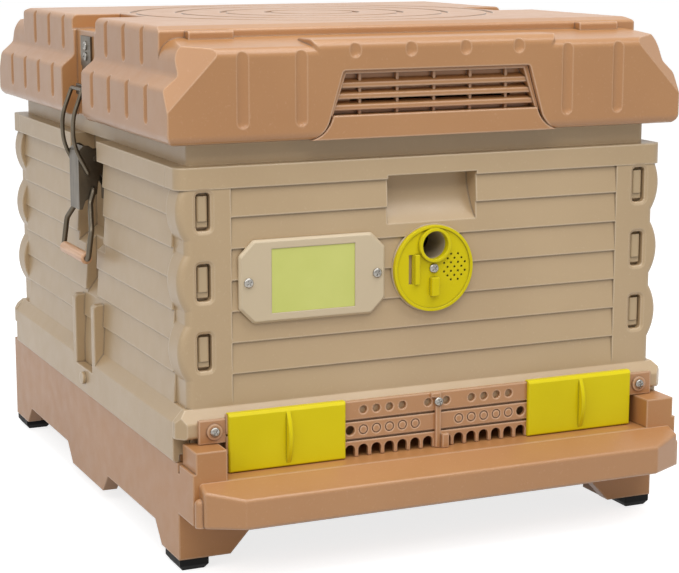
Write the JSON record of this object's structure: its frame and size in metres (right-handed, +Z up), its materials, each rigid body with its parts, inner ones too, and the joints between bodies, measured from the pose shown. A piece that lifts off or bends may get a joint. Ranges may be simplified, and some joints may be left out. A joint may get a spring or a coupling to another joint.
{
  "type": "insulated beehive",
  "caption": "Insulated moulded beehive: legged stand with landing board, lapped brood body, top feeder and two-tier lid, with sliding entrance gates, an entrance disc and side latches.",
  "frame": {"origin": "centre of the footprint, on the surface under the feet", "axes": "+Z up, entrance and landing board towards -Y, +X to the right seen from the front"},
  "size_m": [0.502, 0.612, 0.4581],
  "materials": {
    "terracotta": "fine satin grain",
    "beige": "fine satin grain",
    "liner": "smooth",
    "foam": "rigid foam",
    "yellow": "satin",
    "label": "smooth",
    "comb_plastic": "smooth",
    "steel": "brushed",
    "screw_steel": "bright",
    "clip": "satin",
    "grip_wood": "varnished",
    "foot_rubber": "matt"
  },
  "bodies": {
    "stand": {"stand": "terracotta", "landing_board": "terracotta", "rubber_feet": "foot_rubber", "floor_screen": "steel"},
    "tray": {"bottom_tray": "liner"},
    "brood_body": {"front_panel": "beige", "rear_panel": "beige", "left_panel": "beige", "right_panel": "beige", "corner_clips": "clip", "front_liner": "liner", "rear_liner": "liner", "left_liner": "liner", "right_liner": "liner", "side_insulation": "foam", "end_insulation": "foam", "frame_rests": "steel", "frame_01": "comb_plastic", "frame_02": "comb_plastic", "frame_03": "comb_plastic", "frame_04": "comb_plastic", "frame_05": "comb_plastic", "frame_06": "comb_plastic", "frame_07": "comb_plastic", "frame_08": "comb_plastic", "frame_09": "comb_plastic", "frame_10": "comb_plastic", "disc_screw": "screw_steel", "disc_tube": "liner", "tag_plate": "beige", "tag_label": "label", "tag_screws": "screw_steel", "entrance_strip": "terracotta", "centre_post": "terracotta", "strip_screws": "screw_steel", "left_bracket": "steel", "right_bracket": "steel", "left_pivot": "steel", "right_pivot": "steel"},
    "disc": {"entrance_disc": "yellow"},
    "gate_left": {"left_gate": "yellow"},
    "gate_right": {"right_gate": "yellow"},
    "feeder": {"feeder": "beige", "feeder_cap": "beige"},
    "lid": {"lid_shell": "terracotta", "lid_insulation": "foam", "lid_lining": "liner", "vent_grille": "terracotta", "left_catch": "steel", "right_catch": "steel", "catch_screws": "screw_steel"},
    "lever_left": {"left_lever": "steel"},
    "loop_left": {"left_loop": "steel"},
    "bail_left": {"left_bail": "steel"},
    "grip_left": {"left_grip": "grip_wood"},
    "lever_right": {"right_lever": "steel"},
    "loop_right": {"right_loop": "steel"},
    "bail_right": {"right_bail": "steel"},
    "grip_right": {"right_grip": "grip_wood"}
  },
  "joints": [
    {"name": "body_lift", "type": "slide", "parent": "stand", "child": "brood_body", "axis": [0, 0, 1], "range_m": [0, 0.25]},
    {"name": "tray_slide", "type": "slide", "parent": "stand", "child": "tray", "axis": [0, 1, 0], "range_m": [0, 0.3]},
    {"name": "gate_left_slide", "type": "slide", "parent": "brood_body", "child": "gate_left", "axis": [1, 0, 0], "range_m": [0, 0.078]},
    {"name": "gate_right_slide", "type": "slide", "parent": "brood_body", "child": "gate_right", "axis": [-1, 0, 0], "range_m": [0, 0.078]},
    {"name": "disc_turn", "type": "hinge", "parent": "brood_body", "child": "disc", "pos_m": [0, -0.244, 0.247], "axis": [0, -1, 0], "continuous": true},
    {"name": "feeder_lift", "type": "slide", "parent": "brood_body", "child": "feeder", "axis": [0, 0, 1], "range_m": [0, 0.25]},
    {"name": "lid_lift", "type": "slide", "parent": "feeder", "child": "lid", "axis": [0, 0, 1], "range_m": [0, 0.3]},
    {"name": "lever_left_turn", "type": "hinge", "parent": "brood_body", "child": "lever_left", "pos_m": [-0.227, 0.022, 0.326], "axis": [0, 1, 0], "range_deg": [0, 90]},
    {"name": "loop_left_turn", "type": "hinge", "parent": "lever_left", "child": "loop_left", "pos_m": [-0.235, 0.022, 0.312], "axis": [0, 1, 0], "range_deg": [-112.5, 0]},
    {"name": "bail_left_turn", "type": "hinge", "parent": "lever_left", "child": "bail_left", "pos_m": [-0.2305, 0.022, 0.2976], "axis": [0, 1, 0], "range_deg": [0, 35]},
    {"name": "grip_left_turn", "type": "hinge", "parent": "bail_left", "child": "grip_left", "pos_m": [-0.2445, 0.022, 0.2356], "axis": [0, 1, 0], "continuous": true},
    {"name": "lever_right_turn", "type": "hinge", "parent": "brood_body", "child": "lever_right", "pos_m": [0.227, 0.022, 0.326], "axis": [0, -1, 0], "range_deg": [0, 90]},
    {"name": "loop_right_turn", "type": "hinge", "parent": "lever_right", "child": "loop_right", "pos_m": [0.235, 0.022, 0.312], "axis": [0, -1, 0], "range_deg": [-112.5, 0]},
    {"name": "bail_right_turn", "type": "hinge", "parent": "lever_right", "child": "bail_right", "pos_m": [0.2305, 0.022, 0.2976], "axis": [0, -1, 0], "range_deg": [0, 35]},
    {"name": "grip_right_turn", "type": "hinge", "parent": "bail_right", "child": "grip_right", "pos_m": [0.2445, 0.022, 0.2356], "axis": [0, -1, 0], "continuous": true}
  ],
  "couplings": [
    {"joint": "loop_left_turn", "follows": "lever_left_turn", "ratio": -1.25},
    {"joint": "loop_right_turn", "follows": "lever_right_turn", "ratio": -1.25}
  ]
}
